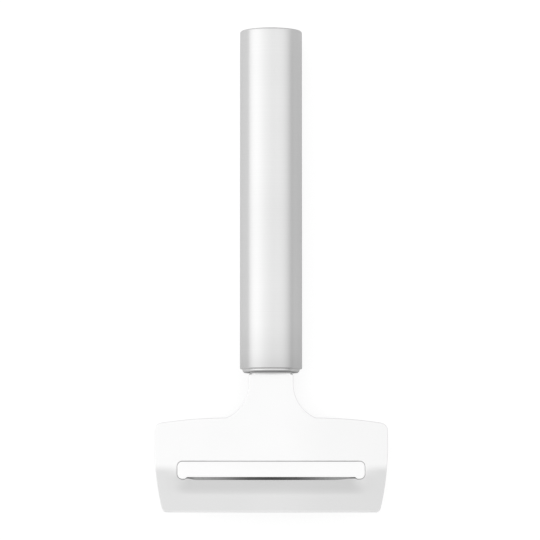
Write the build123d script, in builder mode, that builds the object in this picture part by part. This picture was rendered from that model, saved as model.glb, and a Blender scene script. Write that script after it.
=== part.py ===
"""Cheese slicer: a brushed steel tube handle with a T-shaped slicing blade.

The slicer lies on its back, as it does on a table. X runs across the blade, Y along the
handle towards its butt end, and Z is up, out of the blade's upper face, over which the
slices run. The origin is below the middle of the slicer's length, on the surface that the
handle rests on. All sizes are millimetres.

A steel tube is closed at its front by a drawn ferrule and at its butt by a drawn cap. The
blade's tang passes through the ferrule into a moulded core of two halves, which are pinned
together through the tang and pressed into the tube. The butt cap sits on a moulded bung.
A rubber ring at each end keeps washing-up water out.

Along the blade, a place is a distance from the seat, where the neck's shoulders meet the
ferrule's crowned face, towards the blade's tip.
"""

from build123d import *

import os
from math import cos, radians, sin, sqrt, tan

# Handle tube
handle_d = 25.0
handle_wall = 1.0
handle_length = 136.8
rim_round = 0.8  # outer edge of both tube ends
rim_break = 0.15  # inner edge of both tube ends

# Fits
press_gap = 0.03  # glue line round what is pressed into the tube
slip_gap = 0.05  # between parts that slide together when the handle is built

# Front ferrule, a drawn cup with a crowned face and a slot for the tang
ferrule_wall = 1.0
ferrule_stand = 1.4  # how far the rim of its face stands out of the tube
ferrule_crown = 0.65  # how far the middle of its face stands out beyond the rim
ferrule_round = 1.2
ferrule_skirt = 7.0  # length inside the tube

# Butt cap, a drawn cup flush with the tube's end
cap_wall = 1.0
cap_round = 0.5
cap_depth = 7.0

# Blade, one pressed sheet
blade_thickness = 1.2
blade_width = 93.8
blade_reach = 55.4  # seat to tip
neck_width = 17.9
neck_corner_round = 0.9
neck_straight = 4.0
neck_fillet = 14.9
shoulder_place = 17.7  # where the neck's fillets run out into the head
shoulder_crown = 187.0  # radius of the head's upper edge
head_corner_place = 20.1
head_corner_round = 3.2
side_straight_end = 28.1
side_crown = 105.0  # radius of the sides below that
tip_corner_round = 1.8
bend_place = 34.9
bend_radius = 14.2  # to the middle of the sheet
bend_angle = 18.5

# Slot and cutting edge
slot_place = 35.25
slot_length = 75.2
slot_corner_round = 2.0
edge_place = 41.45
edge_length = 67.5
edge_grind_angle = 45.0
relief_depth = 0.95  # notch beside each end of the cutting edge
relief_slant = 0.9  # how far the edge's tongue widens to its root, each side
slice_thickness = 1.0  # how far the cutting edge lies below the blade's underside
press_place = 47.5  # where the strip behind the edge turns back into the lip
press_turn_length = 3.2
press_ramp_start = 31.5  # half the width over which the strip is pressed to full depth

# Tang
tang_width = 15.4
tang_length = 44.0
tang_end_round = 3.0

# Moulded core round the tang
core_length = 52.0
core_nose = 5.0  # length of the nose that the ferrule slides over
core_pocket_depth = 6.0
core_pocket_length = 11.0
core_pocket_width = 12.0
core_pocket_round = 2.0

# Pins through core and tang
pin_d = 3.0
pin_length = 20.0
pin_break = 0.3
first_pin_place = 20.0  # from the seat
pin_spacing = 18.0

# Bung that carries the butt cap
bung_length = 12.0
bung_nose = 5.0
bung_wall = 2.0
bung_floor = 2.5

# Rubber rings
ring_squeeze_gap = 0.02  # between a ring and the walls that it is pinched by
ring_play = 0.1  # along the handle, each side of a ring

# Places that follow from the sizes above
axis_z = handle_d / 2
axis_plane = Plane.XY.offset(axis_z)
handle_axis = Axis((0, 0, axis_z), (0, 1, 0))
bore_r = handle_d / 2 - handle_wall
plug_r = bore_r - press_gap
crown_r = (plug_r**2 + ferrule_crown**2) / (2 * ferrule_crown)
tang_slot_half = tang_width / 2 + slip_gap
seat_rise = sqrt(crown_r**2 - tang_slot_half**2) - (crown_r - ferrule_crown)
overall_length = handle_length + ferrule_stand + seat_rise + blade_reach
butt_y = overall_length / 2
tube_front_y = butt_y - handle_length
ferrule_rim_y = tube_front_y - ferrule_stand
ferrule_end_y = tube_front_y + ferrule_skirt
seat_y = ferrule_rim_y - seat_rise
ferrule_nose_r = plug_r - ferrule_wall - slip_gap
cap_nose_r = plug_r - cap_wall - slip_gap
half_sheet = blade_thickness / 2
lip_turn = radians(bend_angle)
cut_height = 2 * handle_d  # of the cuts that pass right through the blade


def across_handle(y):
    """A plane square to the handle at y, centred on its axis and facing the butt."""
    return Plane(origin=(0, y, axis_z), x_dir=(-1, 0, 0), z_dir=(0, 1, 0))


def blade_y(place):
    """The y of a place along the blade."""
    return seat_y - place


def ring_section_d(nose_r):
    """Thickness of the rubber ring that fits between a nose and the tube."""
    return bore_r - nose_r - 2 * ring_squeeze_gap


# Handle tube: drawn and welded, with both ends rounded over
with BuildPart() as handle_tube:
    with BuildSketch(across_handle(tube_front_y)):
        Circle(handle_d / 2)
        Circle(bore_r, mode=Mode.SUBTRACT)
    extrude(amount=handle_length)
    chamfer(handle_tube.edges().filter_by(GeomType.CIRCLE).group_by(SortBy.RADIUS)[0], rim_break)
    fillet(handle_tube.edges().filter_by(GeomType.CIRCLE).group_by(SortBy.RADIUS)[-1], rim_round)
handle_tube.part.label = "handle_tube"


# Front ferrule: the neck's shoulders seat on its crown, and the tang passes through its slot
crown_middle_y = ferrule_rim_y - ferrule_crown
crown_center_y = crown_middle_y + crown_r
skirt_r = plug_r - ferrule_wall
inner_crown_r = crown_r - ferrule_wall
inner_rim_y = crown_center_y - sqrt(inner_crown_r**2 - skirt_r**2)
crown_middle = (crown_middle_y, axis_z)
crown_rim = (ferrule_rim_y, axis_z + plug_r)
inner_middle = (crown_middle_y + ferrule_wall, axis_z)
inner_rim = (inner_rim_y, axis_z + skirt_r)
skirt_end = (ferrule_end_y, axis_z + plug_r)
inner_skirt_end = (ferrule_end_y, axis_z + skirt_r)
with BuildPart() as front_ferrule:
    with BuildSketch(Plane.YZ) as ferrule_section:
        with BuildLine():
            RadiusArc(crown_middle, crown_rim, crown_r)
            Polyline(crown_rim, skirt_end, inner_skirt_end, inner_rim)
            RadiusArc(inner_rim, inner_middle, -inner_crown_r)
            Line(inner_middle, crown_middle)
        make_face()
        fillet(ferrule_section.vertices().group_by(Axis.Y)[-1].sort_by(Axis.X)[0], ferrule_round)
    revolve(axis=handle_axis)
    with BuildSketch(across_handle(crown_middle_y - ferrule_wall)):
        Rectangle(2 * tang_slot_half, blade_thickness + 2 * slip_gap)
    extrude(amount=ferrule_crown + 2 * ferrule_wall, mode=Mode.SUBTRACT)
front_ferrule.part.label = "front_ferrule"

# Butt cap: a drawn cup, flush with the end of the tube
with BuildPart() as butt_cap:
    with BuildSketch(across_handle(butt_y - cap_depth)):
        Circle(plug_r)
    extrude(amount=cap_depth)
    fillet(butt_cap.edges().group_by(Axis.Y)[-1], cap_round)
    with BuildSketch(across_handle(butt_y - cap_depth)):
        Circle(plug_r - cap_wall)
    extrude(amount=cap_depth - cap_wall, mode=Mode.SUBTRACT)
butt_cap.part.label = "butt_cap"

# Blade: the plan of the sheet, with its tang. The fillets go from the tang to the tip.
half_neck = neck_width / 2
half_head = blade_width / 2
half_tang = tang_width / 2
shoulder_run = shoulder_place - neck_straight
shoulder_x = half_neck + neck_fillet - sqrt(neck_fillet**2 - shoulder_run**2)
side_run = blade_reach - side_straight_end
tip_x = half_head - side_crown + sqrt(side_crown**2 - side_run**2)
tang_end_y = seat_y + tang_length
neck_end = (half_neck, blade_y(neck_straight))
shoulder = (shoulder_x, blade_y(shoulder_place))
head_corner = (half_head, blade_y(head_corner_place))
side_end = (half_head, blade_y(side_straight_end))
tip_corner = (tip_x, blade_y(blade_reach))
with BuildSketch() as blade_plan:
    with BuildLine():
        Polyline((0, tang_end_y), (half_tang, tang_end_y), (half_tang, seat_y), (half_neck, seat_y), neck_end)
        RadiusArc(neck_end, shoulder, -neck_fillet)
        RadiusArc(shoulder, head_corner, shoulder_crown)
        Line(head_corner, side_end)
        RadiusArc(side_end, tip_corner, side_crown)
        Line(tip_corner, (0, blade_y(blade_reach)))
        mirror(about=Plane.YZ)
    make_face()
    fillet(blade_plan.vertices().group_by(Axis.Y)[-1], tang_end_round)
    seat_corners = blade_plan.vertices().group_by(Axis.Y)[5].sort_by(Axis.X)
    fillet([seat_corners[0], seat_corners[-1]], neck_corner_round)
    fillet(blade_plan.vertices().group_by(Axis.Y)[2], head_corner_round)
    fillet(blade_plan.vertices().group_by(Axis.Y)[0], tip_corner_round)


def lip_under(place):
    """Height of the lip's underside at a place beyond the bend."""
    lower_r = bend_radius + half_sheet
    bend_end = bend_place + lower_r * sin(lip_turn)
    return axis_z + bend_radius - lower_r * cos(lip_turn) + (place - bend_end) * tan(lip_turn)


def upward(direction):
    """The normal on the upper side of a line that runs towards the tip, in the (y, z) plane."""
    return Vector(direction.Y, -direction.X)


def pressed_slice(x, press):
    """Slice at x of the strip behind the cutting edge; press is its share of the full depth."""
    sole = axis_z - half_sheet
    drop = press * (lip_under(edge_place) - sole + slice_thickness)
    edge = Vector(blade_y(edge_place), lip_under(edge_place) - drop)
    corner = Vector(blade_y(press_place), lip_under(press_place))
    strip_end = Vector(blade_y(strip_end_place), lip_under(strip_end_place))
    strip_way = (corner - edge).normalized()
    lip_way = (strip_end - corner).normalized()
    strip_up = upward(strip_way)
    lip_up = upward(lip_way)
    upper_corner = corner + (strip_up + lip_up) * (blade_thickness / (1 + strip_up.dot(lip_up)))
    before = strip_way * (press_turn_length / 2)
    after = lip_way * (press_turn_length / 2)
    grind_run = blade_thickness / tan(radians(edge_grind_angle))
    grind_start = edge + strip_way * grind_run + strip_up * blade_thickness
    upper_end = strip_end + Vector(0, blade_thickness / cos(lip_turn))
    with BuildSketch(Plane(origin=(x, 0, 0), x_dir=(0, 1, 0), z_dir=(1, 0, 0))) as section:
        with BuildLine():
            Line(edge, corner - before)
            Bezier(corner - before, corner, corner + after)
            Polyline(corner + after, strip_end, upper_end, upper_corner + after)
            Bezier(upper_corner + after, upper_corner, upper_corner - before)
            Polyline(upper_corner - before, grind_start, edge)
        make_face()
    return section.sketch


# The strip behind the cutting edge, pressed down out of the lip and faded out at its ends
strip_end_place = press_place + press_turn_length
half_slot = slot_length / 2
ramp_steps = 4
with BuildPart() as pressed_strip:
    extrude(pressed_slice(-press_ramp_start, 1), amount=2 * press_ramp_start, dir=(1, 0, 0))
    ramp = [step / ramp_steps for step in range(ramp_steps + 1)]
    ramp_length = half_slot - press_ramp_start
    loft([pressed_slice(press_ramp_start + t * ramp_length, 1 - t * t * (3 - 2 * t)) for t in ramp])
    mirror(about=Plane.YZ)

# Slot: an opening with rounded corners, less the tongue that the cutting edge is ground on
relief_end_place = edge_place + relief_depth
slot_depth = relief_end_place - slot_place
slot_middle_place = slot_place + slot_depth / 2
half_edge = edge_length / 2
half_root = half_edge + relief_slant
with BuildSketch() as slot_opening:
    with Locations((0, blade_y(slot_middle_place))):
        RectangleRounded(slot_length, slot_depth, slot_corner_round)
    with BuildLine():
        Polyline(
            (-half_edge, blade_y(slot_middle_place)),
            (-half_edge, blade_y(edge_place)),
            (-half_root, blade_y(relief_end_place)),
            (half_root, blade_y(relief_end_place)),
            (half_edge, blade_y(edge_place)),
            (half_edge, blade_y(slot_middle_place)),
            close=True,
        )
    make_face(mode=Mode.SUBTRACT)

# Blade: the bent sheet cut to its plan, then the strip, the slot and the pin holes
inner_r = bend_radius - half_sheet
outer_r = bend_radius + half_sheet
lip_length = (blade_reach - bend_place) / cos(lip_turn)
lip_way = Vector(-cos(lip_turn), sin(lip_turn))
bend_start = Vector(blade_y(bend_place), axis_z)
bend_center = bend_start + Vector(0, bend_radius)
inner_start = bend_start + Vector(0, half_sheet)
outer_start = bend_start - Vector(0, half_sheet)
inner_end = bend_center - upward(lip_way) * inner_r
outer_end = bend_center - upward(lip_way) * outer_r
upper_tip = inner_end + lip_way * lip_length
lower_tip = outer_end + lip_way * lip_length
tang_top = Vector(tang_end_y, axis_z + half_sheet)
tang_bottom = Vector(tang_end_y, axis_z - half_sheet)
pin_ys = [seat_y + first_pin_place, seat_y + first_pin_place + pin_spacing]
with BuildPart() as slicer_blade:
    with BuildSketch(Plane.YZ):
        with BuildLine():
            Line(tang_top, inner_start)
            RadiusArc(inner_start, inner_end, -inner_r)
            Polyline(inner_end, upper_tip, lower_tip, outer_end)
            RadiusArc(outer_end, outer_start, outer_r)
            Polyline(outer_start, tang_bottom, tang_top)
        make_face()
    extrude(amount=half_head, both=True)
    extrude(blade_plan.sketch, amount=cut_height, mode=Mode.INTERSECT)
    with BuildSketch():
        with Locations((0, blade_y((slot_middle_place + strip_end_place) / 2))):
            Rectangle(slot_length, strip_end_place - slot_middle_place)
    extrude(amount=cut_height, mode=Mode.SUBTRACT)
    add(pressed_strip.part)
    extrude(slot_opening.sketch, amount=cut_height, mode=Mode.SUBTRACT)
    with Locations([(0, y, axis_z) for y in pin_ys]):
        Hole(pin_d / 2 + slip_gap)
slicer_blade.part.label = "slicer_blade"

# Moulded core: two halves that meet at the blade's middle plane, cored out between the pins
core_start_y = ferrule_end_y + ring_section_d(ferrule_nose_r) + 2 * ring_play
core_nose_y = core_start_y - core_nose
with BuildPart() as core:
    with BuildSketch(across_handle(core_nose_y)):
        Circle(ferrule_nose_r)
    extrude(amount=core_nose)
    with BuildSketch(across_handle(core_start_y)):
        Circle(plug_r)
    extrude(amount=core_length)
    with BuildSketch(axis_plane):
        with Locations((0, (core_nose_y + tang_end_y) / 2 + slip_gap)):
            Rectangle(tang_width + 2 * slip_gap, tang_end_y - core_nose_y + 2 * slip_gap)
    extrude(amount=half_sheet + slip_gap, both=True, mode=Mode.SUBTRACT)
    with Locations([(0, y, axis_z) for y in pin_ys]):
        Hole(pin_d / 2 + slip_gap)
    pocket_ys = [(pin_ys[0] + pin_ys[1]) / 2, pin_ys[1] + pin_spacing / 2]
    for side in (1, -1):
        with BuildSketch(axis_plane.offset(side * (plug_r - core_pocket_depth))):
            with Locations([(0, y) for y in pocket_ys]):
                RectangleRounded(core_pocket_width, core_pocket_length, core_pocket_round)
        extrude(amount=side * core_pocket_depth, mode=Mode.SUBTRACT)

with BuildPart() as core_upper:
    add(core.part)
    split(bisect_by=axis_plane, keep=Keep.TOP)
core_upper.part.label = "core_upper"

with BuildPart() as core_lower:
    add(core.part)
    split(bisect_by=axis_plane, keep=Keep.BOTTOM)
core_lower.part.label = "core_lower"

# Pins: driven through the core's halves and the tang between them
with BuildPart() as core_pins:
    with Locations([(0, y, axis_z) for y in pin_ys]):
        Cylinder(pin_d / 2, pin_length)
    chamfer(core_pins.edges().filter_by(GeomType.CIRCLE), pin_break)
core_pins.part.label = "core_pins"

# Bung: glued into the tube, with a nose that the butt cap is pressed over
bung_end_y = butt_y - cap_depth - ring_section_d(cap_nose_r) - 2 * ring_play
with BuildPart() as end_bung:
    with BuildSketch(across_handle(bung_end_y - bung_length)):
        Circle(plug_r)
    extrude(amount=bung_length)
    with BuildSketch(across_handle(bung_end_y)):
        Circle(cap_nose_r)
    extrude(amount=bung_nose)
    with BuildSketch(across_handle(bung_end_y - bung_length)):
        Circle(cap_nose_r - bung_wall)
    extrude(amount=bung_length + bung_nose - bung_floor, mode=Mode.SUBTRACT)
end_bung.part.label = "end_bung"


def ring_section(nose_r, groove_start_y):
    """Section of the rubber ring round a nose, in a groove that starts at groove_start_y."""
    section_r = ring_section_d(nose_r) / 2
    ring_r = nose_r + ring_squeeze_gap + section_r
    with BuildSketch(Plane.YZ) as section:
        with Locations((groove_start_y + ring_play + section_r, axis_z + ring_r)):
            Circle(section_r)
    return section.sketch


# Rubber rings: one behind the ferrule, one in front of the butt cap
with BuildPart() as front_ring:
    revolve(ring_section(ferrule_nose_r, ferrule_end_y), axis=handle_axis)
front_ring.part.label = "front_ring"

with BuildPart() as rear_ring:
    revolve(ring_section(cap_nose_r, bung_end_y), axis=handle_axis)
rear_ring.part.label = "rear_ring"

os.makedirs("parts", exist_ok=True)
export_step(handle_tube.part, "parts/handle_tube.step")
export_step(front_ferrule.part, "parts/front_ferrule.step")
export_step(butt_cap.part, "parts/butt_cap.step")
export_step(slicer_blade.part, "parts/slicer_blade.step")
export_step(core_upper.part, "parts/core_upper.step")
export_step(core_lower.part, "parts/core_lower.step")
export_step(core_pins.part, "parts/core_pins.step")
export_step(end_bung.part, "parts/end_bung.step")
export_step(front_ring.part, "parts/front_ring.step")
export_step(rear_ring.part, "parts/rear_ring.step")
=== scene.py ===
from math import acos, asin, atan2, cos, pi, radians, sin, sqrt, tan

import bpy
import numpy as np
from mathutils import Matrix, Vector
from mathutils.geometry import delaunay_2d_cdt


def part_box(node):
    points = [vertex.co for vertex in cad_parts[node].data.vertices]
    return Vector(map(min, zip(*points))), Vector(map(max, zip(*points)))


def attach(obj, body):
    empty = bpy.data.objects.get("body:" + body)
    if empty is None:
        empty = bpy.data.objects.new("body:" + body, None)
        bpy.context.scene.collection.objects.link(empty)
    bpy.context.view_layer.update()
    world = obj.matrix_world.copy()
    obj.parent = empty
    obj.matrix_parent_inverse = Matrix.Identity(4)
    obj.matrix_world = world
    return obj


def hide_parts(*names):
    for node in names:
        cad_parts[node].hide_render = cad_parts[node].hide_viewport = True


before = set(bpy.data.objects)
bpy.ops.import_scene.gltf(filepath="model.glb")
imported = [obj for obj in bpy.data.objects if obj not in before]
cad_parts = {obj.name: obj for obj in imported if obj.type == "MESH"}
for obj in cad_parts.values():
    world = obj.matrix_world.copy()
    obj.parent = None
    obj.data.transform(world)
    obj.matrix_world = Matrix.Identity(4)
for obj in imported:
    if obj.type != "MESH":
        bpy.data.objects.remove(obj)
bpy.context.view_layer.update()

# The camera looks down on the slicer from a little beyond the blade's end, so that it sees the
# tube's front rim but not its butt face. The slicer lies with its handle's underside at height
# zero, and the handle's own width gives the picture's scale.
scene = bpy.context.scene
mm = 0.001
tube_low, tube_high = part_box("handle_tube")
tube_r = (tube_high[0] - tube_low[0]) / 2
axis_z = (tube_low[2] + tube_high[2]) / 2
picture_px = 540
tube_width_px = 62.0
photo_scale = 2 * tube_r / tube_width_px      # metres per pixel at the height of the handle's axis
camera_distance_px = 2850.0
camera_distance = camera_distance_px * photo_scale
camera_tilt = radians(3.5)
view_middle_px = 270.0
front_rim_px = 369.3                          # row of the tube's front end in the picture
handle_middle_px = 271.05                     # column of the handle's axis in the picture
aim_x = (view_middle_px - handle_middle_px) * photo_scale
aim = Vector((aim_x, tube_low[1] + (front_rim_px - view_middle_px) * photo_scale, axis_z))
camera_data = bpy.data.cameras.new("camera")
camera_data.sensor_width = 36.0
camera_data.lens = camera_data.sensor_width * camera_distance / (picture_px * photo_scale)
camera_data.clip_end = 20.0
camera = bpy.data.objects.new("camera", camera_data)
scene.collection.objects.link(camera)
away = Vector((0.0, -sin(camera_tilt), cos(camera_tilt)))
camera.location = aim + away * camera_distance
camera.rotation_euler = away.to_track_quat("Z", "Y").to_euler()
scene.camera = camera
scene.view_settings.view_transform = "Standard"

# Table: a plain matt white top under the slicer. The camera sees it white and it keeps the
# slicer's shadow, while metal sees it darker through a painted shadow, deepest under the handle
# and to its right.


def add_mesh(name, verts, faces, crease=45):
    """A smooth mesh object in the slicer's own frame, with sharp edges above the crease angle."""
    mesh = bpy.data.meshes.new(name)
    mesh.from_pydata(verts, [], faces)
    mesh.validate()
    mesh.polygons.foreach_set("use_smooth", [True] * len(mesh.polygons))
    mesh.set_sharp_from_angle(angle=radians(crease))
    mesh.update()
    made = bpy.data.objects.new(name, mesh)
    scene.collection.objects.link(made)
    return made


class Finish:
    """A node material whose nodes are added and joined with few words."""

    def __init__(self, name, metallic, **sockets):
        self.material = bpy.data.materials.new(name)
        self.material.use_nodes = True
        self.tree = self.material.node_tree
        self.shader = self.tree.nodes["Principled BSDF"]
        self.shader.inputs["Metallic"].default_value = metallic
        for socket, value in sockets.items():
            self.shader.inputs[socket.replace("_", " ")].default_value = value

    def node(self, kind, links=(), **settings):
        """Adds a node; links are (output, input name) pairs and settings are its values."""
        added = self.tree.nodes.new("ShaderNode" + kind)
        for key, value in settings.items():
            name = key.replace("_", " ")
            if name in added.inputs:
                added.inputs[name].default_value = value
            else:
                setattr(added, key, value)
        for output, name in links:
            self.tree.links.new(output, added.inputs[name])
        return added

    def surface_noise(self, stretch, detail, roughness):
        """Noise fixed to the slicer, so many blobs to the metre along x, y and z."""
        place = self.node("TexCoord")
        spread = self.node("Mapping", [(place.outputs["Object"], "Vector")], Scale=stretch)
        noise = self.node("TexNoise", [(spread.outputs[0], "Vector")],
                          Scale=1.0, Detail=detail, Roughness=roughness)
        return noise.outputs["Fac"]

    def along(self, axis_name, start, end, kind="Object"):
        """A point's place along an axis of the slicer, or its face's turn, from 0 to 1."""
        place = self.node("TexCoord")
        axes = self.node("SeparateXYZ", [(place.outputs[kind], "Vector")])
        return self.span(axes.outputs[axis_name], 0.0, 1.0, start, end)

    def span(self, value, low, high, start=0.0, end=1.0):
        """The value carried over from start..end to low..high."""
        ranged = self.node("MapRange", [(value, "Value")],
                           To_Min=low, To_Max=high, From_Min=start, From_Max=end)
        return ranged.outputs["Result"]

    def grey(self, level):
        """A grey colour from a number."""
        mixed = self.node("CombineColor", [(level, name) for name in ("Red", "Green", "Blue")])
        return mixed.outputs["Color"]

    def worked_out(self, operation, one, other):
        """One number from two, of which the second may be a plain number."""
        result = self.node("Math", operation=operation)
        self.tree.links.new(one, result.inputs[0])
        if isinstance(other, float):
            result.inputs[1].default_value = other
        else:
            self.tree.links.new(other, result.inputs[1])
        return result.outputs[0]

    def times(self, one, other):
        """Two numbers multiplied."""
        return self.worked_out("MULTIPLY", one, other)

    def plus(self, one, other):
        """Two numbers added."""
        return self.worked_out("ADD", one, other)

    def larger(self, one, other):
        """The larger of two numbers."""
        return self.worked_out("MAXIMUM", one, other)

    def ramp(self, value, stops, smoothly="EASE"):
        """A number looked up between (place, level) stops, all from 0 to 1."""
        looked_up = self.node("ValToRGB", [(value, "Fac")])
        looked_up.color_ramp.interpolation = smoothly
        marks = looked_up.color_ramp.elements
        while len(marks) < len(stops):
            marks.new(0.5)
        for mark, (place, level) in zip(marks, stops):
            mark.position = place
            mark.color = (level, level, level, 1)
        return looked_up.outputs["Color"]

    def bump(self, height, depth, strength):
        """A bump of that depth in metres."""
        bumped = self.node("Bump", [(height, "Height")], Strength=strength, Distance=depth)
        return bumped.outputs["Normal"]

    def feed(self, socket, output):
        """Joins an output to one of the shader's sockets."""
        self.tree.links.new(output, self.shader.inputs[socket])


table_half = 3.0
table_corners = [(-table_half, -table_half, 0), (table_half, -table_half, 0)]
table_corners += [(table_half, table_half, 0), (-table_half, table_half, 0)]
table = add_mesh("table", table_corners, [(0, 1, 2, 3)])
table_white = 0.30        # the part of the table's white that takes light and shadow
table_glow = 0.80         # the part that is seen whatever falls on it
strip_half = 0.1          # half the width of the painted shadow that metal sees on the table
# Painted shadow: metal sees the table darkest right under the handle, and darker to its right than to
# its left
painted_shadow_stops = [(0.30, 0.71), (0.40, 0.64), (0.45, 0.25), (0.55, 0.25), (0.60, 0.50), (0.80, 0.52)]
table_paint = Finish("table_paint", 0.0, Base_Color=(table_white,) * 3 + (1,), Roughness=1.0)
table_paint.shader.inputs["Specular IOR Level"].default_value = 0.0
table_paint.shader.inputs["Emission Color"].default_value = (1, 1, 1, 1)
seen = table_paint.node("LightPath")
painted_shadow_in_metal = table_paint.ramp(table_paint.along("X", -strip_half, strip_half), painted_shadow_stops)
glow = table_paint.times(seen.outputs["Is Glossy Ray"], painted_shadow_in_metal)
glow = table_paint.plus(glow, seen.outputs["Is Transmission Ray"])
glow = table_paint.plus(glow, seen.outputs["Is Camera Ray"])
table_paint.feed("Emission Strength", table_paint.times(glow, table_glow))
table.data.materials.append(table_paint.material)

# The room: soft light from all round, brightest from the upper left, weaker from the right and
# from both ends, and weakest from beyond the blade. That gives the round tube its soft grey
# bands. The world's colour is worked out from the direction in which it is seen.
room = bpy.data.worlds.new("room")
scene.world = room
room.use_nodes = True
room_tree = room.node_tree
background = room_tree.nodes["Background"]
direction = room_tree.nodes.new("ShaderNodeTexCoord")
axes = room_tree.nodes.new("ShaderNodeSeparateXYZ")
room_tree.links.new(direction.outputs["Generated"], axes.inputs[0])


def light_by(axis_name, stops):
    """The room's brightness by how far a direction points along one axis, from -1 to 1."""
    spread = room_tree.nodes.new("ShaderNodeMapRange")
    spread.inputs["From Min"].default_value = -1.0
    room_tree.links.new(axes.outputs[axis_name], spread.inputs["Value"])
    ramp = room_tree.nodes.new("ShaderNodeValToRGB")
    ramp.color_ramp.interpolation = "CARDINAL"
    room_tree.links.new(spread.outputs["Result"], ramp.inputs["Fac"])
    marks = ramp.color_ramp.elements
    while len(marks) < len(stops):
        marks.new(0.5)
    for mark, (place, level) in zip(marks, stops):
        mark.position = (place + 1) / 2
        mark.color = (level, level, level, 1)
    return ramp.outputs["Color"]


room_level = 1.42
side_light = light_by("X", [
    (-1.0, 0.76), (-0.96, 0.93), (-0.83, 0.99), (-0.64, 0.957), (-0.42, 0.888), (-0.17, 0.846),
    (0.09, 0.806), (0.34, 0.814), (0.58, 0.798), (0.78, 0.737), (0.93, 0.59), (1.0, 0.42),
])
end_light = light_by("Y", [
    (-1.0, 0.6), (-0.85, 0.42), (-0.5, 0.42), (-0.22, 0.8), (-0.1, 1.0), (0.2, 1.0),
    (0.59, 0.78), (0.96, 0.66),
])
both_lights = room_tree.nodes.new("ShaderNodeMix")
both_lights.data_type = "RGBA"
both_lights.blend_type = "MULTIPLY"
both_lights.inputs["Factor"].default_value = 1.0
room_tree.links.new(side_light, both_lights.inputs[6])
room_tree.links.new(end_light, both_lights.inputs[7])
room_tree.links.new(both_lights.outputs[2], background.inputs["Color"])
background.inputs["Strength"].default_value = room_level

# Handle tube: a stainless tube, welded, drawn and brushed round its outside, so that fine
# lines run round it. Both ends are faced off, rounded over outside and broken inside.
around = 256              # steps round the handle's axis
wall_steps = 12           # steps along the tube's outer wall
rim_round = 0.8 * mm
front_round = 0.6 * mm
rim_break = 0.15 * mm
tube_wall = 1.0 * mm
bore_r = tube_r - tube_wall
tube_front, tube_back = tube_low[1], tube_high[1]


def circle(y, r):
    """A circle of points round the handle's axis, or the one point where its radius is zero."""
    if r == 0:
        return [(0.0, y, axis_z)]
    turns = [2 * pi * i / around for i in range(around)]
    return [(r * cos(turn), y, axis_z + r * sin(turn)) for turn in turns]


def turned(name, rows, crease=45):
    """A mesh round the handle's axis, of closed rows of points joined in order.

    It is closed from the last row to the first, unless both are single points."""
    starts = [sum(len(row) for row in rows[:i]) for i in range(len(rows))]
    faces = []
    for k, row in enumerate(rows):
        following = (k + 1) % len(rows)
        here, there = starts[k], starts[following]
        for i in range(around):
            j = (i + 1) % around
            if len(row) == 1 and len(rows[following]) == 1:
                break
            if len(row) == 1:
                faces.append((here, there + j, there + i))
            elif len(rows[following]) == 1:
                faces.append((here + i, here + j, there))
            else:
                faces.append((here + i, here + j, there + j, there + i))
    return add_mesh(name, [point for row in rows for point in row], faces, crease)


def arc(y, r, size, start, turn=90, steps=8):
    """Points of a round about (y, r), from the angle start on, both in degrees."""
    turns = [radians(start + turn * i / steps) for i in range(steps + 1)]
    return [(y + size * cos(t), r + size * sin(t)) for t in turns]


def even_steps(start, end, count):
    """Points between two (y, radius) points, which keep the faces of a long wall short."""
    return [tuple(a + (b - a) * i / count for a, b in zip(start, end)) for i in range(1, count)]


tube_profile = arc(tube_back - rim_round, tube_r - rim_round, rim_round, 0)
tube_profile += even_steps(
    (tube_back - rim_round, tube_r), (tube_front + front_round, tube_r), wall_steps)
tube_profile += arc(tube_front + front_round, tube_r - front_round, front_round, 90)
tube_profile += [(tube_front, bore_r + rim_break), (tube_front + rim_break, bore_r)]
tube_profile += [(tube_back - rim_break, bore_r), (tube_back, bore_r + rim_break)]
tube = turned("brushed_tube", [circle(y, r) for y, r in tube_profile])
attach(tube, "root")
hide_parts("handle_tube")

# Brushed steel: fine lines round the tube, which spread its gloss along it, and a slow change in
# how far they do
tube_steel = Finish("tube_steel", 1.0, Anisotropic=0.6, Anisotropic_Rotation=0.25)
lines = tube_steel.surface_noise((3, 2600, 3), 5.0, 0.7)
cloud = tube_steel.surface_noise((25, 60, 25), 2.0, 0.5)
round_it = tube_steel.node("Tangent", direction_type="RADIAL", axis="Y")
tube_steel.feed("Tangent", round_it.outputs[0])
front_fade = 20 * mm      # painted shade: the steel is painted darker over this length at the blade's end
near_front = tube_steel.along("Y", tube_front, tube_front + front_fade)
# Painted shade, darkest at the tube's front end
painted_front_shade = tube_steel.ramp(near_front, [(0.0, 0.86), (0.4, 0.94), (1.0, 1.0)])
brushed = tube_steel.span(lines, 0.74, 0.77, 0.3, 0.7)
tube_steel.feed("Base Color", tube_steel.grey(tube_steel.times(brushed, painted_front_shade)))
tube_steel.feed("Roughness", tube_steel.span(cloud, 0.28, 0.31, 0.3, 0.7))
brush_depth = 0.01 * mm
tube_steel.feed("Normal", tube_steel.bump(lines, brush_depth, 0.35))
tube.data.materials.append(tube_steel.material)

# Front ferrule: a cup drawn from stainless sheet, polished, with a rounded rim and a slightly
# crowned face that stand out of the tube. The blade's tang passes through a slot in its face.
glue_gap = 0.03 * mm
plug_r = bore_r - glue_gap
cup_wall = 1.0 * mm
skirt_r = plug_r - cup_wall
cup_depth = 7.0 * mm
ferrule_stand = 1.4 * mm
ferrule_rim = tube_front - ferrule_stand
ferrule_round = 1.2 * mm
ferrule_crown = 0.65 * mm
crown_r = (plug_r ** 2 + ferrule_crown ** 2) / (2 * ferrule_crown)
crown_center = ferrule_rim - ferrule_crown + crown_r
half_tang = 7.7 * mm
half_sheet = 0.6 * mm
slot_play = 0.05 * mm
slot_break = 0.12 * mm    # the worn edge round the slot
slot_corner_steps = 12    # of the steps round, from the slot's end to its corner
slot_end_turn = 2 * pi * slot_corner_steps / around


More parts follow.
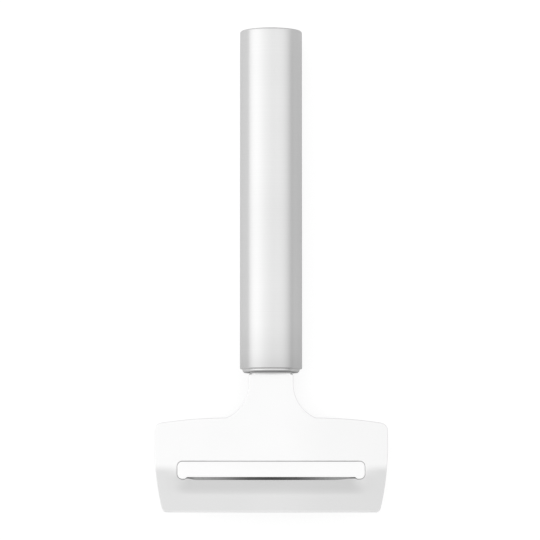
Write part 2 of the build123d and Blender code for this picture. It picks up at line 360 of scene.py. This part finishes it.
def slot_row(grow):
    """Points round the slot for the tang, so much larger than the slot, as (x, z) from the axis."""
    half_x = half_tang + slot_play + grow
    half_z = half_sheet + slot_play + grow
    row = []
    for i in range(around):
        turn = 2 * pi * i / around
        x = max(-1.0, min(1.0, cos(turn) / cos(slot_end_turn)))
        z = max(-1.0, min(1.0, sin(turn) / sin(slot_end_turn)))
        row.append((half_x * x, half_z * z))
    return row


def crown_row(share, rim_r, ball_r, grow=0.0):
    """A row on the crowned face, at a share of the way from the slot to its rim."""
    row = []
    for i, (x, z) in enumerate(slot_row(grow)):
        turn = 2 * pi * i / around
        px = x + (rim_r * cos(turn) - x) * share
        pz = z + (rim_r * sin(turn) - z) * share
        row.append((px, crown_center - sqrt(ball_r ** 2 - px ** 2 - pz ** 2), axis_z + pz))
    return row


round_r = plug_r - ferrule_round
round_y = crown_center - sqrt((crown_r - ferrule_round) ** 2 - round_r ** 2)
round_turn = 90 - asin(round_r / (crown_r - ferrule_round)) * 180 / pi
ferrule_end = tube_front + cup_depth
inner_ball_r = crown_r - cup_wall
inner_rim = crown_center - sqrt(inner_ball_r ** 2 - skirt_r ** 2)
ferrule_rows = [circle(ferrule_end, skirt_r), circle(ferrule_end, plug_r)]
rim_arc = arc(round_y, round_r, ferrule_round, 90, round_turn, 14)
ferrule_rows += [circle(y, r) for y, r in rim_arc]
crown_rim_r = round_r * crown_r / (crown_r - ferrule_round)
crown_shares = [0.97, 0.9, 0.75, 0.55, 0.35, 0.18, 0.06, 0.0]
ferrule_rows += [crown_row(share, crown_rim_r, crown_r, slot_break) for share in crown_shares]
ferrule_rows.append([(x, y + slot_break, z) for x, y, z in crown_row(0.0, crown_rim_r, crown_r)])
ferrule_rows += [crown_row(share, skirt_r, inner_ball_r) for share in reversed(crown_shares)]
ferrule_rows.append(circle(inner_rim, skirt_r))
ferrule = turned("crowned_ferrule", ferrule_rows, 40)
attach(ferrule, "root")
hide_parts("front_ferrule")

fitting_steel = Finish("fitting_steel", 1.0, Anisotropic=0.2, Anisotropic_Rotation=0.25)
rubbed = fitting_steel.surface_noise((10, 3000, 10), 3.0, 0.6)
round_it = fitting_steel.node("Tangent", direction_type="RADIAL", axis="Y")
fitting_steel.feed("Tangent", round_it.outputs[0])
turned_front = fitting_steel.along("Y", -1.0, 0.0, "Normal")
# Painted shade and reflection: the face that turns to the front, and most of all the round at its
# rim, is painted darker, less so at its sides
painted_rim_stops = [(0.0, 0.63), (0.007, 0.575), (0.02, 0.35), (0.25, 0.35), (0.5, 1.0)]
painted_rim_shade = fitting_steel.ramp(turned_front, painted_rim_stops, "LINEAR")
across_rim = fitting_steel.along("X", -plug_r, plug_r)
painted_rim_side_stops = [(0.0, 0.62), (0.085, 0.6), (0.125, 0.3), (0.875, 0.3), (0.92, 0.55), (1.0, 0.55)]
painted_rim_side_level = fitting_steel.ramp(across_rim, painted_rim_side_stops, "LINEAR")
painted_rim_shade = fitting_steel.larger(painted_rim_shade, painted_rim_side_level)
satin_grey = fitting_steel.span(rubbed, 0.66, 0.70, 0.3, 0.7)
fitting_steel.feed("Base Color", fitting_steel.grey(fitting_steel.times(satin_grey, painted_rim_shade)))
fitting_steel.feed("Roughness", fitting_steel.span(rubbed, 0.14, 0.19, 0.3, 0.7))
fitting_steel.feed("Normal", fitting_steel.bump(rubbed, brush_depth, 0.15))
ferrule.data.materials.append(fitting_steel.material)

# Butt cap: a second cup drawn from stainless sheet, with a flat face and a tighter rounding,
# glued in flush with the tube's butt end. It is polished like the ferrule.
cap_round = 0.5 * mm
cap_start = tube_back - cup_depth
cap_profile = [(tube_back - cup_wall, skirt_r * share) for share in (0, 0.15, 0.4, 0.7)]
cap_profile += arc(tube_back - cup_wall - cap_round, skirt_r - cap_round, cap_round, 0)
cap_profile += [(cap_start, skirt_r), (cap_start, plug_r)]
cap_profile += arc(tube_back - cap_round, plug_r - cap_round, cap_round, 90, -90)
cap_profile += [(tube_back, plug_r * share) for share in (0.7, 0.4, 0.15)] + [(tube_back, 0)]
cap = turned("spun_cap", [circle(y, r) for y, r in reversed(cap_profile)])
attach(cap, "root")
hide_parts("butt_cap")
cap.data.materials.append(fitting_steel.material)

# Blade: one sheet of stainless steel, blanked to a T with its tang, bent up into a lip along
# the slot, and pressed down behind the slot, where its edge is ground from above. Its
# outline is tumbled, so that every edge but the cutting edge is slightly round.
blade_low, blade_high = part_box("slicer_blade")
sheet = 2 * half_sheet
tip_y = blade_low[1]
tang_length = 44.0 * mm
seat_y = blade_high[1] - tang_length
reach = seat_y - tip_y
half_head = blade_high[0]
half_neck = 8.95 * mm
neck_straight = 4.0 * mm
neck_fillet = 14.9 * mm
shoulder_place = 17.7 * mm
shoulder_crown = 187.0 * mm
head_corner_place = 20.1 * mm
side_straight_end = 28.1 * mm
side_crown = 105.0 * mm
slot_place = 35.25 * mm
half_slot = 37.6 * mm
edge_place = 41.45 * mm
half_edge = 33.75 * mm
relief_depth = 0.7 * mm
relief_slant = 0.9 * mm
bend_place = 34.9 * mm
bend_radius = 14.2 * mm
bend_turn = radians(18.5)
slice_thickness = 1.0 * mm
press_place = 47.5 * mm
press_turn = 1.4 * mm
pin_hole_r = 1.55 * mm
pin_places = [-20.0 * mm, -38.0 * mm]


def smooth(value):
    """An even rise from 0 to 1 as the value goes from 0 to 1."""
    value = min(max(value, 0.0), 1.0)
    return value * value * (3 - 2 * value)


def lip_under(place):
    """Height of the blade's underside where nothing is pressed down."""
    lower_r = bend_radius + half_sheet
    bend_run = lower_r * sin(bend_turn)
    if place <= bend_place:
        return axis_z - half_sheet
    if place <= bend_place + bend_run:
        return axis_z + bend_radius - sqrt(lower_r ** 2 - (place - bend_place) ** 2)
    beyond = place - bend_place - bend_run
    return axis_z + bend_radius - lower_r * cos(bend_turn) + beyond * tan(bend_turn)


edge_drop = lip_under(edge_place) - (axis_z - half_sheet) + slice_thickness
press_slope = edge_drop / (press_place - edge_place)


# Across the blade, the press runs out in two steps: where each ends, over what length, its share
press_ends = [(38.6 * mm, 6.6 * mm, 0.85), (44.5 * mm, 12.0 * mm, 0.15)]
press_lead = 5.0 * mm     # beside the slot, the press starts over this length


def pressed(x, place):
    """How far the sheet is pressed down at a point behind or beside the slot."""
    x = abs(x)
    share = sum(part * smooth((end - x) / run) for end, run, part in press_ends)
    before = press_place - place
    if before > press_turn:
        depth = press_slope * min(before, press_place - edge_place)
    elif before > -press_turn:
        depth = press_slope * (before + press_turn) ** 2 / (4 * press_turn)
    else:
        depth = 0.0
    return share * depth * smooth(1 - (edge_place - place) / press_lead)


def under(x, y):
    """Height of the blade's underside."""
    place = seat_y - y
    return lip_under(place) - pressed(x, place)


probe = 0.02 * mm         # for the slope of the underside
edge_left = 0.03 * mm     # what the grinding leaves of the sheet at the cutting edge
grind_full = 1.2          # width of the ground face in its middle, in millimetres
grind_loss = 0.6          # and how much narrower it is at its ends
grind_even_right = 25.0   # how far from the middle it keeps its full width
grind_even_left = 30.0
grind_end = 33.7


def sheet_top(x, y):
    """Height of the sheet's upper face: the sheet's thickness above its underside."""
    along = (under(x, y + probe) - under(x, y - probe)) / (2 * probe)
    across = (under(x + probe, y) - under(x - probe, y)) / (2 * probe)
    return under(x, y) + sheet * sqrt(1 + along ** 2 + across ** 2)


def grind_width(x):
    """Width of the ground face, which narrows towards both ends of the edge, sooner on the right."""
    even = grind_even_right if x > 0 else grind_even_left
    return (grind_full - grind_loss * smooth((abs(x) / mm - even) / (grind_end - even))) * mm


def is_ground(x, y):
    """Whether a point of the blade's upper side lies on the ground face."""
    if abs(x) >= half_edge + relief_slant:
        return False
    return edge_place - probe < seat_y - y < edge_place + grind_width(x)


def upper(x, y):
    """Height of the blade's upper face, with the ground face behind its cutting edge."""
    if not is_ground(x, y):
        return sheet_top(x, y)
    width = grind_width(x)
    low = under(x, seat_y - edge_place) + edge_left
    high = sheet_top(x, seat_y - edge_place - width)
    return low + (high - low) * max(0.0, seat_y - y - edge_place) / width


def arc_to(points, center, radius, start, end, step=1.0 * mm):
    """Adds the points of an arc, with angles in radians, to a list of (x, place) points."""
    count = max(3, int(abs(end - start) * radius / step))
    points += [
        (center[0] + radius * cos(start + (end - start) * i / count),
         center[1] + radius * sin(start + (end - start) * i / count))
        for i in range(count + 1)
    ]


def line_to(points, end, step=0.8 * mm):
    """Adds even points on a line from the last point to the end."""
    last = points[-1]
    run = sqrt((end[0] - last[0]) ** 2 + (end[1] - last[1]) ** 2)
    count = max(1, round(run / step))
    points += [tuple(a + (b - a) * i / count for a, b in zip(last, end)) for i in range(1, count + 1)]


corner_reach = 1.35       # radii from a corner to the points that give its sides' directions
corner_clear = 0.15 * mm  # left free before and after a rounded corner


def round_corner(points, corner, radius, steps=7):
    """The same closed line with the corner nearest to a point rounded over."""
    at = min(range(len(points)), key=lambda i: (Vector(points[i]) - Vector(corner)).length)
    count = len(points)
    tip = Vector(points[at])

    def leave(way):
        """The first point that lies far enough from the corner, one way round."""
        i = at
        while (Vector(points[i]) - tip).length < radius * corner_reach:
            i = (i + way) % count
        return i

    back, on = leave(-1), leave(1)
    back_way = (Vector(points[back]) - tip).normalized()
    on_way = (Vector(points[on]) - tip).normalized()
    half_turn = acos(max(-1.0, min(1.0, back_way.dot(on_way)))) / 2
    reach_out = radius / tan(half_turn)
    middle = tip + (back_way + on_way).normalized() * radius / sin(half_turn)
    start, end = tip + back_way * reach_out, tip + on_way * reach_out
    from_angle = atan2(start.y - middle.y, start.x - middle.x)
    turn = (atan2(end.y - middle.y, end.x - middle.x) - from_angle + pi) % (2 * pi) - pi
    arc = [
        (middle.x + radius * cos(from_angle + turn * i / steps),
         middle.y + radius * sin(from_angle + turn * i / steps))
        for i in range(steps + 1)
    ]
    kept = []
    i = on
    while i != back:
        if (Vector(points[i]) - tip).length > reach_out + corner_clear:
            kept.append(points[i])
        i = (i + 1) % count
    return kept + [points[back]] + arc


def mirrored(half):
    """A closed line from its right half, whose first and last points lie on the middle."""
    return half + [(-x, p) for x, p in reversed(half[1:-1])]


least_gap = 0.02 * mm


def spaced(points):
    """The same closed line without points that lie on the one before."""
    return [p for i, p in enumerate(points) if (Vector(p) - Vector(points[i - 1])).length > least_gap]


# The outline, as (x, place) points with the place measured from the seat towards the tip
tang_corner_round = 3.0 * mm
neck_corner_round = 0.9 * mm
head_corner_round = 3.2 * mm
tip_corner_round = 1.8 * mm
outline = [(0.0, -tang_length)]
line_to(outline, (half_tang, -tang_length))
line_to(outline, (half_tang, 0.0))
line_to(outline, (half_neck, 0.0), 0.6 * mm)
line_to(outline, (half_neck, neck_straight))
fillet_x = half_neck + neck_fillet
fillet_end = asin((shoulder_place - neck_straight) / neck_fillet)
arc_to(outline, (fillet_x, neck_straight), neck_fillet, pi, pi - fillet_end, 0.6 * mm)
shoulder = Vector(outline[-1])
head_corner = Vector((half_head, head_corner_place))
chord = head_corner - shoulder
crown_middle = (shoulder + head_corner) / 2 + Vector((-chord.y, chord.x)).normalized() * sqrt(
    shoulder_crown ** 2 - (chord.length / 2) ** 2)
crown_start = atan2(shoulder.y - crown_middle.y, shoulder.x - crown_middle.x)
crown_end = atan2(head_corner.y - crown_middle.y, head_corner.x - crown_middle.x)
arc_to(outline, crown_middle, shoulder_crown, crown_start, crown_end)
line_to(outline, (half_head, side_straight_end))
side_turn = asin((reach - side_straight_end) / side_crown)
arc_to(outline, (half_head - side_crown, side_straight_end), side_crown, 0.0, side_turn, 0.8 * mm)
tip_x = outline[-1][0]
line_to(outline, (0.0, reach))
outline = mirrored(outline)
for side in (1, -1):
    outline = round_corner(outline, (side * half_tang, -tang_length), tang_corner_round)
    outline = round_corner(outline, (side * half_neck, 0.0), neck_corner_round)
    outline = round_corner(outline, (side * half_head, head_corner_place), head_corner_round, 10)
    outline = round_corner(outline, (side * tip_x, reach), tip_corner_round)
outline = spaced(outline)

# The slot, with the cutting edge as its far side and a notch beside each end of that edge
slot_corner_round = 2.0 * mm
relief_end = edge_place + relief_depth
slot = [(0.0, slot_place)]
line_to(slot, (half_slot, slot_place))
line_to(slot, (half_slot, relief_end), 0.5 * mm)
line_to(slot, (half_edge + relief_slant, relief_end), 0.3 * mm)
line_to(slot, (half_edge, edge_place), 0.3 * mm)
line_to(slot, (0.0, edge_place))
slot = mirrored(slot)
for side in (1, -1):
    slot = round_corner(slot, (side * half_slot, slot_place), slot_corner_round)
    slot = round_corner(slot, (side * half_slot, relief_end), slot_corner_round)
slot = spaced(slot)
pin_holes = []
for pin_place in pin_places:
    hole = []
    arc_to(hole, (0.0, pin_place), pin_hole_r, 0.0, 2 * pi, 0.4 * mm)
    pin_holes.append(hole[:-1])

edge_round = 0.2 * mm     # the tumbled outline and pin holes
slot_round = 0.3 * mm     # the slot, whose edges are buffed rounder after cutting
edge_sharp = 0.01 * mm    # the cutting edge
round_steps = 4
tongue_margin = 0.1       # share of the notch's depth by which its rounding starts early
blade_verts = []
blade_faces = []
face_kind = []            # of every face: 0 sheet, 1 cut edge, 2 ground face


def signed_area(points):
    """Twice the area of a closed line of (x, y) points, above zero if it runs anticlockwise."""
    return sum(a[0] * b[1] - b[0] * a[1] for a, b in zip(points, points[1:] + points[:1]))


def edge_rows(points, is_hole, rounding, rim_kind):
    """Adds the wall and the rounded edges along a closed line of (x, place) points.

    Returns the inner rows on the upper face and on the underside, as vertex numbers. The
    cutting edge is left sharp, and the rounding grows from it along the sides of its tongue."""
    line = [(x, seat_y - place) for x, place in points]
    if (signed_area(line) > 0) == is_hole:
        line.reverse()
    count = len(line)
    into = []
    for i in range(count):
        way = Vector(line[(i + 1) % count]) - Vector(line[i - 1])
        into.append(Vector((-way.y, way.x)).normalized())
    sizes = []
    for x, y in line:
        beyond = (seat_y - y - edge_place) / relief_depth
        on_tongue = is_hole and abs(x) < half_edge + relief_slant
        if on_tongue and -tongue_margin < beyond < 1 + tongue_margin:
            sizes.append(edge_sharp + (rounding - edge_sharp) * smooth(beyond))
        else:
            sizes.append(rounding)
    rows = []
    for step in range(round_steps, -1, -1):
        angle = pi / 2 * step / round_steps
        inward, drop = 1 - cos(angle), 1 - sin(angle)
        rows.append([(x + i.x * r * inward, y + i.y * r * inward, r * drop)
                     for (x, y), i, r in zip(line, into, sizes)])
    starts = []
    for row in rows:
        starts.append(len(blade_verts))
        blade_verts.extend((x, y, upper(x, y) - fall) for x, y, fall in row)
    for row in reversed(rows):
        starts.append(len(blade_verts))
        blade_verts.extend((x, y, under(x, y) + fall) for x, y, fall in row)
    for band, (high, low) in enumerate(zip(starts, starts[1:])):
        for i in range(count):
            j = (i + 1) % count
            blade_faces.append((low + i, low + j, high + j, high + i))
            face_kind.append(rim_kind if band <= round_steps else 0)
    return [starts[0] + i for i in range(count)], [starts[-1] + i for i in range(count)]


def fill_face(rings, height, step_x, step_y, crease=()):
    """Fills the face between closed rows of vertices with triangles, over a grid of points.

    A crease is a line of (x, y) points inside the face, along which triangles meet."""
    ring_points = [[Vector(blade_verts[i][:2]) for i in ring] for ring in rings]
    numbers = [i for ring in rings for i in ring]
    flat = [p for ring in ring_points for p in ring]
    edges = []
    start = 0
    for ring in rings:
        count = len(ring)
        edges += [(start + i, start + (i + 1) % count) for i in range(count)]
        start += count
    for i, (x, y) in enumerate(crease):
        numbers.append(len(blade_verts))
        blade_verts.append((x, y, height(x, y)))
        flat.append(Vector((x, y)))
        if i > 0:
            edges.append((len(flat) - 2, len(flat) - 1))
    corners = np.array([tuple(p) for p in flat])
    xs = np.arange(corners[:, 0].min(), corners[:, 0].max(), step_x)
    ys = np.arange(corners[:, 1].min(), corners[:, 1].max(), step_y)

    def inside(px, py):
        """Which of many points lie inside the outer ring and outside every hole."""
        hit = np.zeros(px.shape, bool)
        for ring in ring_points:
            ring_xy = np.array([tuple(p) for p in ring])
            ax, ay = ring_xy[:, 0], ring_xy[:, 1]
            bx, by = np.roll(ax, -1), np.roll(ay, -1)
            for x0, y0, x1, y1 in zip(ax, ay, bx, by):
                if y0 == y1:
                    continue
                crosses = (y0 > py) != (y1 > py)
                hit ^= crosses & (px < (x1 - x0) * (py - y0) / (y1 - y0) + x0)
        return hit

    px, py = (g.ravel() for g in np.meshgrid(xs, ys))
    px = px + np.where(np.round((py - ys[0]) / step_y) % 2 > 0, step_x / 2, 0.0)
    keep = inside(px, py)
    px, py = px[keep], py[keep]
    gap = np.full(px.shape, 1.0)
    for x, y in corners:
        gap = np.minimum(gap, (px - x) ** 2 + (py - y) ** 2)
    far = gap > (0.5 * min(step_x, step_y)) ** 2
    for x, y in zip(px[far], py[far]):
        numbers.append(len(blade_verts))
        blade_verts.append((float(x), float(y), height(float(x), float(y))))
        flat.append(Vector((float(x), float(y))))
    points, _, triangles, origins, _, _ = delaunay_2d_cdt(flat, edges, [], 1, 1e-9)
    names = [numbers[origin[0]] for origin in origins]
    middles = np.array([[sum(points[i][k] for i in t) / 3 for k in (0, 1)] for t in triangles])
    kept = inside(middles[:, 0], middles[:, 1])
    return [[names[i] for i in t] for t, good in zip(triangles, kept) if good]


grid_x = 0.95 * mm        # less than twice the other, so that every triangle spans two rows
grid_y = 0.6 * mm
rows = [edge_rows(outline, False, edge_round, 0), edge_rows(slot, True, slot_round, 1)]
rows += [edge_rows(hole, True, edge_round, 1) for hole in pin_holes]
crease_margin = 0.5 * mm  # keeps the crease off the rounded sides of the edge's tongue
crease_count = 84
crease_half = half_edge + relief_slant * grind_width(half_edge) / relief_depth - crease_margin
crease_xs = np.linspace(-crease_half, crease_half, crease_count)
crease = [(float(x), seat_y - edge_place - grind_width(x)) for x in crease_xs]
for triangle in fill_face([row[0] for row in rows], upper, grid_x, grid_y, crease):
    blade_faces.append(triangle)
    x, y, _ = (sum(blade_verts[i][k] for i in triangle) / 3 for k in range(3))
    face_kind.append(2 if is_ground(x, y) else 0)
for triangle in fill_face([row[1] for row in rows], under, grid_x, grid_y):
    blade_faces.append(triangle[::-1])
    face_kind.append(0)
sharp_above = 26          # degrees between faces
blade = add_mesh("pressed_blade", blade_verts, blade_faces, sharp_above)
blade.data.polygons.foreach_set("material_index", face_kind)
evened = blade.modifiers.new("even_normals", "WEIGHTED_NORMAL")
evened.keep_sharp = True
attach(blade, "root")
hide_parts("slicer_blade")

# The sheet has a fine satin grain, the slot's wall the grey of sheared steel, and the ground face
# the marks of the stone. Painted shade and reflection darken the sheet's right side, the slot's
# wall towards its ends, and the ground face in its middle and at its ends
blade_steel = Finish("blade_steel", 1.0)
satin = blade_steel.surface_noise((900, 900, 900), 4.0, 0.6)
drift = blade_steel.surface_noise((35, 35, 35), 2.0, 0.5)
# Painted shade: the sheet is a little darker towards its right side
painted_right_stops = [(0.0, 1.0), (0.5, 1.0), (0.8, 0.965), (1.0, 0.965)]
painted_right_shade = blade_steel.ramp(blade_steel.along("X", -half_head, half_head), painted_right_stops)
satin_level = blade_steel.span(drift, 0.83, 0.845, 0.3, 0.7)
blade_steel.feed("Base Color", blade_steel.grey(blade_steel.times(satin_level, painted_right_shade)))
blade_steel.feed("Roughness", blade_steel.span(satin, 0.14, 0.18, 0.3, 0.7))
blade_steel.feed("Normal", blade_steel.bump(satin, brush_depth, 0.15))
cut_steel = Finish("cut_steel", 1.0)
sheared = cut_steel.surface_noise((1500, 1500, 300), 4.0, 0.6)
# Painted shade: the slot's wall is darker near both its ends, most of all towards the right
painted_cut_stops = [
    (0.0, 0.95), (0.03, 0.55), (0.12, 0.65), (0.3, 0.95), (0.6, 0.85), (0.85, 0.48),
    (0.95, 0.5), (0.985, 1.0),
]
painted_cut_shade = cut_steel.ramp(cut_steel.along("X", -half_slot, half_slot), painted_cut_stops)
cut_grey = cut_steel.span(sheared, 0.52, 0.64, 0.3, 0.7)
cut_steel.feed("Base Color", cut_steel.grey(cut_steel.times(cut_grey, painted_cut_shade)))
cut_steel.feed("Roughness", cut_steel.span(sheared, 0.4, 0.5, 0.3, 0.7))
ground_steel = Finish("ground_steel", 1.0)
stone_marks = ground_steel.surface_noise((4000, 300, 300), 4.0, 0.6)
# Painted reflection and shade: the ground face is darker in its middle, a painted reflection of the
# handle and of the shade under it, and at its very ends
painted_bevel_stops = [
    (0.0, 0.27), (0.02, 0.43), (0.05, 0.78), (0.09, 0.80), (0.28, 0.56), (0.5, 0.335),
    (0.72, 0.58), (0.91, 1.0), (0.96, 0.93), (0.985, 0.45), (1.0, 0.33),
]
painted_bevel_shade = ground_steel.ramp(ground_steel.along("X", -half_edge, half_edge), painted_bevel_stops)
stone_grey = ground_steel.span(stone_marks, 0.50, 0.62, 0.3, 0.7)
ground_steel.feed("Base Color", ground_steel.grey(ground_steel.times(stone_grey, painted_bevel_shade)))
ground_steel.feed("Roughness", ground_steel.span(stone_marks, 0.18, 0.26, 0.3, 0.7))
for finish in (blade_steel, cut_steel, ground_steel):
    blade.data.materials.append(finish.material)

# Inside the handle: a moulded nylon core in two halves, two steel pins, a moulded bung and
# two rubber rings. None of them shows when the handle is closed.
core_plastic = Finish("core_plastic", 0.0)
speckle = core_plastic.surface_noise((500, 500, 500), 3.0, 0.6)
core_plastic.feed("Base Color", core_plastic.grey(core_plastic.span(speckle, 0.018, 0.03)))
core_plastic.feed("Roughness", core_plastic.span(speckle, 0.5, 0.62))
ring_rubber = Finish("ring_rubber", 0.0)
dusting = ring_rubber.surface_noise((800, 800, 800), 3.0, 0.6)
ring_rubber.feed("Base Color", ring_rubber.grey(ring_rubber.span(dusting, 0.008, 0.02)))
ring_rubber.feed("Roughness", ring_rubber.span(dusting, 0.7, 0.85))
pin_steel = Finish("pin_steel", 1.0)
ground_lines = pin_steel.surface_noise((900, 900, 60), 3.0, 0.6)
pin_steel.feed("Base Color", pin_steel.grey(pin_steel.span(ground_lines, 0.62, 0.70)))
pin_steel.feed("Roughness", pin_steel.span(ground_lines, 0.2, 0.3))
hidden = {
    "core_upper": core_plastic, "core_lower": core_plastic, "end_bung": core_plastic,
    "core_pins": pin_steel, "front_ring": ring_rubber, "rear_ring": ring_rubber,
}
for node, finish in hidden.items():
    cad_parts[node].data.materials.clear()
    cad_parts[node].data.materials.append(finish.material)
